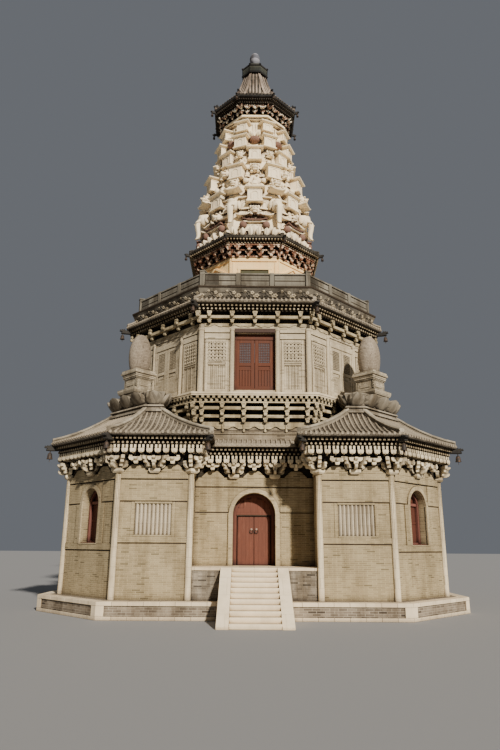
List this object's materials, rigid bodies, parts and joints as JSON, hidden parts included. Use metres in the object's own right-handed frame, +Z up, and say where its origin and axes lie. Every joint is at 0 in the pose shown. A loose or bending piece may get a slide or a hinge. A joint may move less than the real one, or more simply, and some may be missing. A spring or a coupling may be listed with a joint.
{
  "type": "brick flower pagoda with four corner pavilions",
  "caption": "Octagonal brick tower on a kerb platform, with corner pavilions, a bracketed gallery, a parapet terrace, a carved spire, a tiled top roof and a front stair with a double door.",
  "frame": {"origin": "on the tower's vertical axis, at ground level under the kerb platform", "axes": "+Z up; the front stair and the opening door face -Y; +X is to the right of someone who faces the door"},
  "size_m": [16.738, 18.839, 31.5],
  "materials": {
    "brickwork": "weathered grey-tan brick with pale mortar",
    "kerb_stone": "pale worn stone slabs",
    "roof_tile": "unglazed grey clay tile, dusty",
    "red_timber": "matt brown-red paint",
    "stucco": "cream lime plaster over carved brick",
    "dark_iron": "dark weathered iron"
  },
  "bodies": {
    "tower": {"kerb_platform": "kerb_stone", "podium": "brickwork", "floor_slab": "kerb_stone", "front_steps": "kerb_stone", "stair_cheek_left": "kerb_stone", "stair_cheek_right": "kerb_stone", "front_wall_left": "brickwork", "front_wall_right": "brickwork", "front_wall_head": "brickwork", "right_wall": "brickwork", "back_wall": "brickwork", "left_wall": "brickwork", "door_surround": "red_timber", "front_right_pavilion_wall": "brickwork", "back_right_pavilion_wall": "brickwork", "back_left_pavilion_wall": "brickwork", "front_left_pavilion_wall": "brickwork", "front_right_window_panel": "red_timber", "back_right_window_panel": "red_timber", "back_left_window_panel": "red_timber", "front_left_window_panel": "red_timber", "front_right_pavilion_roof": "roof_tile", "back_right_pavilion_roof": "roof_tile", "back_left_pavilion_roof": "roof_tile", "front_left_pavilion_roof": "roof_tile", "front_right_stupa": "brickwork", "back_right_stupa": "brickwork", "back_left_stupa": "brickwork", "front_left_stupa": "brickwork", "main_eave": "roof_tile", "gallery": "brickwork", "second_storey_wall": "brickwork", "second_storey_door_front": "red_timber", "second_storey_door_right": "red_timber", "second_storey_door_back": "red_timber", "second_storey_door_left": "red_timber", "second_storey_eave": "roof_tile", "terrace": "brickwork", "parapet": "brickwork", "third_storey_wall": "stucco", "third_storey_eave": "roof_tile", "spire_lower_tier": "stucco", "spire_middle_tier": "stucco", "spire_upper_tier": "stucco", "top_roof": "roof_tile", "finial_collar": "dark_iron", "finial_jewel": "dark_iron"},
    "left_door": {"door_leaf_left": "red_timber"},
    "right_door": {"door_leaf_right": "red_timber"}
  },
  "joints": [
    {"name": "left_leaf_pivot", "type": "hinge", "parent": "tower", "child": "left_door", "pos_m": [-0.66, -5.06, 1.7], "axis": [0, 0, 1], "range_deg": [0, 90]},
    {"name": "right_leaf_pivot", "type": "hinge", "parent": "tower", "child": "right_door", "pos_m": [0.66, -5.06, 1.7], "axis": [0, 0, -1], "range_deg": [0, 90]}
  ]
}
